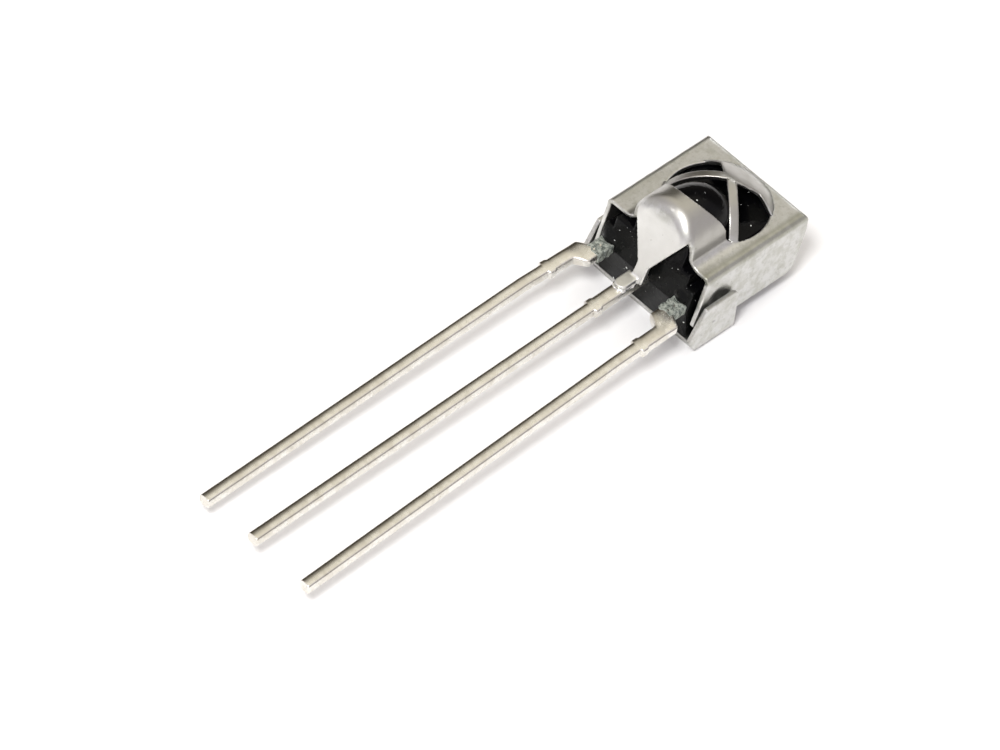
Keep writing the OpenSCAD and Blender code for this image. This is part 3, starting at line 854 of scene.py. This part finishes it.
@dataclass
class MouldedBody:
    """The black body with its lens, and the resin that crept along the leads."""

    case: Case
    step: float = 0.06
    side_gap: float = 0.16
    front_gap: float = 0.05
    end_gap: float = 0.1
    lens_gap: float = 0.05
    shoulder_z: float = 2.65
    upper_half_width: float = 1.95
    nose: float = 0.6
    foot_setback: float = 0.18
    draft: float = 0.26
    lens_straight: float = 1.1
    lens_path: float = 1.2
    collar_margin: float = 0.08
    collar_length: float = 0.8
    collar_overlap: float = 0.2
    ragged_depth: Point2 = (0.025, 0.02)
    lump_depth: float = 0.018
    mould_round: float = 0.08
    meniscus_radius: float = 0.33
    meniscus_fillet: float = 0.12
    bead_depth: float = 0.12
    bead_flatness: float = 1.2
    beads: tuple[Colour, ...] = ((-1.93, 0.12, 1.0), (0.22, -0.05, 0.6), (1.93, 0.10, 0.85))

    def lens(self, x: Array, y: Array, z: Array) -> Array:
        """Gives the lens: a round-topped ridge that bends down to the far end."""
        c = self.case
        end, axis_z = c.near + self.lens_straight, c.arch_z - self.lens_path
        along, up = np.maximum(y - end, 0), z - axis_z
        height = np.where(up > 0, np.hypot(along, np.maximum(up, 0)), np.maximum(along, up))
        radius = c.arch_radius - c.thickness - self.lens_gap
        return tombstone(x - c.press_x, height, self.lens_path, radius)

    def meniscus(self, x: Array, y: Array, z: Array) -> Array:
        """Gives the beads of resin over the leads' roots, each by its X, lift and size."""
        c = self.case
        nearest = np.inf
        face_y = c.near - self.nose + self.draft * self.meniscus_radius
        for place, lift, size in self.beads:
            out = (y - face_y - self.bead_depth) * self.bead_flatness
            bead = np.sqrt((x - place) ** 2 + out**2 + (z - c.lead_top - lift) ** 2)
            nearest = np.minimum(nearest, bead - size * self.meniscus_radius)
        return nearest

    def solid(self, x: Array, y: Array, z: Array) -> Array:
        """Gives the whole body."""
        c = self.case
        half = c.width / 2 - c.thickness - self.side_gap
        top = c.height - c.thickness - self.front_gap
        lower = rectangle(x, z, (-half, -c.height), (half, self.shoulder_z), self.mould_round)
        reach = self.upper_half_width
        upper = rectangle(x, z, (-reach, -c.height), (reach, top), self.mould_round)
        block = fuse(fuse(lower, upper, self.mould_round), self.lens(x, y, z), self.mould_round)
        nose_y, parting_z = c.near - self.nose, c.lead_top - c.lead_thickness / 2
        ceiling = c.arch_z + c.arch_radius
        side = [
            (nose_y + self.foot_setback, c.thickness),
            (nose_y, parting_z),
            (nose_y + self.draft * (ceiling - parting_z), ceiling),
            (c.far - c.thickness - self.end_gap, ceiling),
            (c.far - c.thickness - self.end_gap, c.thickness),
        ]
        block = carve(block, polygon(y, z, side), self.mould_round)
        return fuse(block, self.meniscus(x, y, z), self.meniscus_fillet)

    def collars(self, x: Array, y: Array, z: Array) -> Array:
        """Gives the thin resin round the outer leads' roots, with ragged ends."""
        c, grown = self.case, self.collar_margin
        u, w = np.abs(np.abs(x) - c.lead_root_x), z - c.lead_top + c.lead_thickness / 2
        coarse, fine = self.ragged_depth
        ragged = coarse * np.sin(17 * x + 3 * z) + fine * np.sin(31 * z - 9 * x)
        lumps = self.lump_depth * np.sin(19 * y + 11 * x) * np.sin(16 * x - 7 * z)
        half = (c.lead_root_width / 2 + grown / 2, c.lead_thickness / 2 + grown / 2)
        section = rectangle(u, w, (-half[0], -half[1]), half, grown) + lumps
        root = c.near - self.nose
        reach = np.maximum(root - self.collar_length + ragged - y, y - root - self.collar_overlap)
        return carve(section, reach, grown)

    def build(self) -> None:
        """Makes the body and the resin round the leads, and dresses both."""
        piece = formed_piece("moulded_body", self.solid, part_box("body"), self.step)
        settle(piece, Finish.BLACK_EPOXY, "body")
        c = self.case
        reach = c.lead_root_x + c.lead_root_width
        root = c.near - self.nose
        for name, near_x in (("signal", -reach), ("supply", reach - 2 * c.lead_root_width)):
            low = (near_x, root - self.collar_length - 0.1, c.lead_top - 0.6)
            high = (near_x + 2 * c.lead_root_width, root + 0.3, c.lead_top + 0.2)
            piece = formed_mesh(f"{name}_lead_resin", self.collars, low, high, self.step / 2)
            settle(piece, Finish.THIN_RESIN)


@dataclass
class Solder:
    """The wavy bright solder that holds the tongue's tab on the ground lead."""

    case: Case
    step: float = 0.025
    tab_root: float = -3.79
    tab_length: float = 0.85
    margin: float = 0.06
    height: float = 0.07
    wave_depth: Point2 = (0.025, 0.012)
    overhang: float = 0.01
    roundness: float = 0.9

    def solid(self, x: Array, y: Array, z: Array) -> Array:
        """Gives the solder, a low bead with a wavy edge."""
        c = self.case
        coarse, fine = self.wave_depth
        wave = coarse * np.sin(13 * y + 1.0) + fine * np.sin(29 * x + 17 * y)
        half = c.lead_root_width / 2 + self.overhang
        near = self.tab_root - self.tab_length - self.margin
        plan = rectangle(x, y, (-half, near), (half, self.tab_root + 0.1), half * self.roundness) + wave
        slab = np.abs(z - c.lead_top) - self.height
        return carve(plan, slab, self.height * self.roundness)

    def build(self) -> None:
        """Makes the solder and dresses it."""
        c = self.case
        low = (-0.5, self.tab_root - self.tab_length - 0.3, c.lead_top - 0.2)
        high = (0.5, self.tab_root + 0.3, c.lead_top + 0.2)
        piece = formed_mesh("ground_solder_bead", self.solid, low, high, self.step)
        settle(piece, Finish.SOLDER, "ground_solder")


@dataclass(frozen=True)
class LeadPath:
    """How one lead runs: the places of its centre line, and how it was bent."""

    node: str
    root_x: float
    jog_x: float
    run_x: float
    tip_x: float
    droop: float
    twist: float
    inner_end: float
    pad_width: float
    pad_end: float


@dataclass
class Leads:
    """The three flat leads, each a round-edged strip that follows its own path."""

    case: Case
    reach: float = 20.1
    width: float = 0.5
    squareness: float = 5.0
    shoulder: float = 3.3
    stub_length: float = 0.3
    stub_out: float = 0.055
    crown: float = 0.03
    jog_start: float = 1.1
    jog_end: float = 1.55
    jog_lag: float = 0.65
    settle_end: float = 4.4
    bend_start: float = 2.2
    edge: float = 0.02
    stub_edge: float = 0.05
    pad_edge: float = 0.03
    around: int = 56
    along: int = 700
    paths: tuple[LeadPath, ...] = (
        LeadPath("signal_lead", -1.93, -2.42, -2.54, -2.67, 0.93, 5.0, -1.6, 0.62, -0.55),
        LeadPath("ground_lead", 0.0, 0.0, -0.02, -0.09, 0.68, 4.0, -3.35, 1.9, -0.55),
        LeadPath("supply_lead", 1.93, 2.50, 2.48, 2.69, 0.74, 4.0, -1.6, 0.62, -0.55),
    )

    def tree(self) -> bpy.types.NodeTree:
        """Builds the tree that forms a strip along its path, in millimetres."""
        tree = bpy.data.node_groups.new("flat_lead", "GeometryNodeTree")
        tree.interface.new_socket("Geometry", in_out="OUTPUT", socket_type="NodeSocketGeometry")
        names = list(self.sizes(self.paths[0]))
        for name in names:
            tree.interface.new_socket(name, in_out="INPUT", socket_type="NodeSocketFloat")
        tree.interface.new_socket("Finish", in_out="INPUT", socket_type="NodeSocketMaterial")
        g = Graph(tree)
        given = tree.nodes.new("NodeGroupInput")
        i = {name: Socket(g, given.outputs[name]) for name in (*names, "Finish")}

        values = {"Vertices": self.around, "Side Segments": self.along, "Radius": 1.0, "Depth": 1.0}
        rod = g.node("GeometryNodeMeshCylinder", values=values, output="Mesh")
        place = g.node("GeometryNodeInputPosition")
        cosine, sine, share = (g.node("ShaderNodeSeparateXYZ", values={0: place}, output=n) for n in "XYZ")
        past = i["Inner End"] + (share + 0.5) * (i["Reach"] - i["Inner End"])

        power = 2.0 / i["Squareness"]
        across = cosine.sign() * cosine.absolute() ** power
        upward = sine.sign() * sine.absolute() ** power
        wide = 1.0 - past.ramp(i["Shoulder"] - i["Edge"], i["Shoulder"] + i["Edge"])
        stub_start = i["Shoulder"] - i["Stub Length"]
        stub = past.ramp(stub_start - i["Stub Edge"], stub_start + i["Stub Edge"]) * wide
        pad = 1.0 - past.ramp(i["Pad End"] - i["Pad Edge"], i["Pad End"] + i["Pad Edge"])
        half = i["Width"] / 2.0 + wide * (i["Root Width"] - i["Width"]) / 2.0 + stub * i["Stub Out"]
        half = half + pad * (i["Pad Width"] - i["Root Width"]) / 2.0

        outer = past.ramp(i["Jog Start"], i["Jog End"])
        inner = past.ramp(i["Jog Start"] + i["Jog Lag"], i["Jog End"] + i["Jog Lag"])
        jog = i["Jog X"] - i["Root X"]
        half = half + (outer - inner) / 2.0 * jog.absolute()
        centre = i["Root X"] + (outer + inner) / 2.0 * jog
        jogged = i["Jog End"] + i["Jog Lag"]
        centre = centre + past.ramp(jogged, i["Settle End"], False) * (i["Run X"] - i["Jog X"])
        run = past.ramp(i["Settle End"], i["Reach"], False)
        centre = centre + run * (i["Tip X"] - i["Run X"])
        drop = past.ramp(i["Bend Start"], i["Reach"], False)
        level = i["Top"] - i["Thickness"] / 2.0 - drop * i["Droop"]

        turn = run * i["Twist"] * (math.pi / 180)
        crown = (1.0 - across * across) * upward * i["Crown"]
        side, rise = across * half, upward * i["Thickness"] / 2.0 + crown
        values = {
            "X": (centre + side - rise * turn) * MM,
            "Y": (i["Front"] - past) * MM,
            "Z": (level + rise + side * turn) * MM,
        }
        position = g.node("ShaderNodeCombineXYZ", values=values)
        moved = g.node("GeometryNodeSetPosition", values={"Geometry": rod, "Position": position})
        real = g.node("GeometryNodeRealizeInstances", values={0: moved})
        done = g.node("GeometryNodeSetMaterial", values={"Geometry": real, "Material": i["Finish"]})
        out = tree.nodes.new("NodeGroupOutput")
        g.feed(out.inputs["Geometry"], done)
        return tree

    def sizes(self, path: LeadPath) -> dict[str, float]:
        """Gives the tree's inputs for one lead: every length and angle, by its name."""
        c = self.case
        given = {**vars(path), **vars(self), "top": c.lead_top, "front": c.near}
        given |= {"thickness": c.lead_thickness, "root_width": c.lead_root_width}
        return {
            name.replace("_", " ").title(): value
            for name, value in given.items()
            if isinstance(value, float)
        }

    def build(self) -> None:
        """Makes the three leads and dresses them."""
        tree = self.tree()
        for path in self.paths:
            holder = add_object("holder", bpy.data.meshes.new("holder"))
            modifier = holder.modifiers.new("lead", "NODES")
            modifier.node_group = tree
            given = {"Finish": Finish.TINNED_LEAD.material(), **self.sizes(path)}
            for item in tree.interface.items_tree:
                if item.in_out == "INPUT":
                    modifier[item.identifier] = given[item.name]
            shaped = holder.evaluated_get(bpy.context.evaluated_depsgraph_get())
            mesh = bpy.data.meshes.new_from_object(shaped)
            bpy.data.objects.remove(holder)
            for face in mesh.polygons:
                face.use_smooth = len(face.vertices) <= 4
            settle(add_object(f"{path.node}_strip", mesh), Finish.TINNED_LEAD, path.node)


PACKED = {
    Finish.SILICON: ("photodiode", "receiver_chip"),
    Finish.DIE_ADHESIVE: ("photodiode_adhesive", "chip_adhesive"),
    Finish.GOLD_WIRE: ("photodiode_wire", "signal_wire", "supply_wire", "ground_wire"),
}


def dress_packed() -> None:
    """Dresses the pieces whose packed form is right as it is."""
    for finish, names in PACKED.items():
        for name in names:
            finish.dress(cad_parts[name])


# ---- studio ----


@dataclass
class Studio:
    """Camera, floor and soft light."""

    azimuth: float = math.radians(40.5)
    elevation: float = math.radians(48.7)
    roll: float = math.radians(-8.0)
    distance: float = 284.7
    focal_px: float = 7595.0
    offset_px: Point2 = (148.5, -74.8)
    image_width_px: float = 1000.0
    sensor_mm: float = 36.0
    floor_size: float = 3000.0
    floor_tone: Colour = (0.93, 0.93, 0.93)
    floor_roughness: float = 0.9
    world_strength: float = 0.72
    front_tone: Colour = (1.0, 0.955, 0.985)
    cream_tone: Colour = (1.39, 1.31, 1.14)
    dim_tone: Colour = (0.16, 0.145, 0.12)
    cream_way: Colour = (-0.35, 0.45, 0.82)
    cream_range: Point2 = (0.6, 0.95)
    dim_way: Colour = (-0.80, 0.55, 0.25)
    dim_range: Point2 = (0.75, 0.96)
    back_way: Colour = (-0.30, 0.95, -0.05)
    back_range: Point2 = (0.60, 0.88)
    light_distance: float = 300.0
    key_way: Colour = (0.20, -0.50, 0.84)
    key_size: float = 70.0
    key_radiance: float = 36.0
    lamp_size: float = 3.0
    lamp_radiance: float = 900.0
    lamp_ways: tuple[Colour, ...] = (
        (-0.30, -0.62, 0.72),
        (0.55, -0.45, 0.70),
        (-0.31, 0.86, 0.40),
        (-0.42, 0.72, 0.55),
        (0.0, 0.80, 0.60),
    )

    def axes(self) -> tuple[Vector, Vector, Vector]:
        """Gives the camera's right, up and back directions."""
        sa, ca = math.sin(self.azimuth), math.cos(self.azimuth)
        se, ce = math.sin(self.elevation), math.cos(self.elevation)
        right, back = Vector((ca, sa, 0)), Vector((sa * ce, -ca * ce, se))
        up = back.cross(right)
        s, c = math.sin(self.roll), math.cos(self.roll)
        return c * right - s * up, s * right + c * up, back

    def build(self, case: Case) -> None:
        """Sets up the whole studio, with plain display colours."""
        bpy.context.scene.view_settings.view_transform = "Standard"
        self.add_camera(Vector((0, case.near, 0)))
        self.add_floor()
        self.add_light()

    def add_camera(self, anchor: Vector) -> None:
        """Places the camera, aimed as far off the anchor as the framing needs."""
        right, up, back = self.axes()
        shift = self.distance / self.focal_px
        aside, below = self.offset_px
        place = anchor + back * self.distance - right * aside * shift + up * below * shift
        data = bpy.data.cameras.new("camera")
        data.sensor_width = self.sensor_mm
        data.lens = self.focal_px * self.sensor_mm / self.image_width_px
        data.clip_start, data.clip_end = 0.01, 10.0
        camera = add_object("camera", data)
        camera.matrix_world = Matrix.Translation(place * MM) @ Matrix((right, up, back)).transposed().to_4x4()
        bpy.context.scene.camera = camera

    def add_floor(self) -> None:
        """Adds the pale floor."""
        half = self.floor_size / 2 * MM
        mesh = bpy.data.meshes.new("floor")
        corners = [(-half, -half, 0), (half, -half, 0), (half, half, 0), (-half, half, 0)]
        mesh.from_pydata(corners, [], [(0, 1, 2, 3)])
        floor = add_object("floor", mesh)
        s = Shader("floor")
        s.set(Base_Color=self.floor_tone, Roughness=self.floor_roughness)
        mesh.materials.append(s.material)

    def add_surround(self) -> None:
        """Adds the surround: white, with cream above, dim at the left and low at the back."""
        world = bpy.data.worlds.new("surround")
        world.use_nodes = True
        g = Graph(world.node_tree)
        way = g.node("ShaderNodeTexCoord", output="Generated")
        dim = g.dot(way, self.dim_way).ramp(*self.dim_range)
        dim = (dim + g.dot(way, self.back_way).ramp(*self.back_range)).clamped()
        cream = g.dot(way, self.cream_way).ramp(*self.cream_range)
        tone = g.mix(cream, self.front_tone, self.cream_tone)
        background = world.node_tree.nodes["Background"]
        g.feed(background.inputs["Color"], g.mix(dim, tone, self.dim_tone))
        background.inputs["Strength"].default_value = self.world_strength
        bpy.context.scene.world = world

    def add_light(self) -> None:
        """Adds the surround, one soft box and a few small lamps for sparkle."""
        self.add_surround()
        self.add_box("key", Vector(self.key_way) * self.light_distance, self.key_size, self.key_radiance)
        for number, way in enumerate(self.lamp_ways):
            place = Vector(way) * self.light_distance
            self.add_box(f"lamp_{number}", place, self.lamp_size, self.lamp_radiance)

    def add_box(self, name: str, place: Vector, size: float, radiance: float) -> None:
        """Adds one square light that faces the module."""
        data = bpy.data.lights.new(name, "AREA")
        data.size = size * MM
        data.energy = radiance * math.pi * (size * MM) ** 2
        light = add_object(name, data)
        turned = place.to_track_quat("Z", "Y").to_matrix().to_4x4()
        light.matrix_world = Matrix.Translation(place * MM) @ turned


def main() -> None:
    """Builds the module, piece by piece."""
    logging.basicConfig(level=logging.INFO, format="%(name)s: %(message)s")
    case = Case()
    Shield(case).build()
    MouldedBody(case).build()
    Leads(case).build()
    Solder(case).build()
    dress_packed()
    Studio().build(case)


if __name__ == "__main__":
    main()
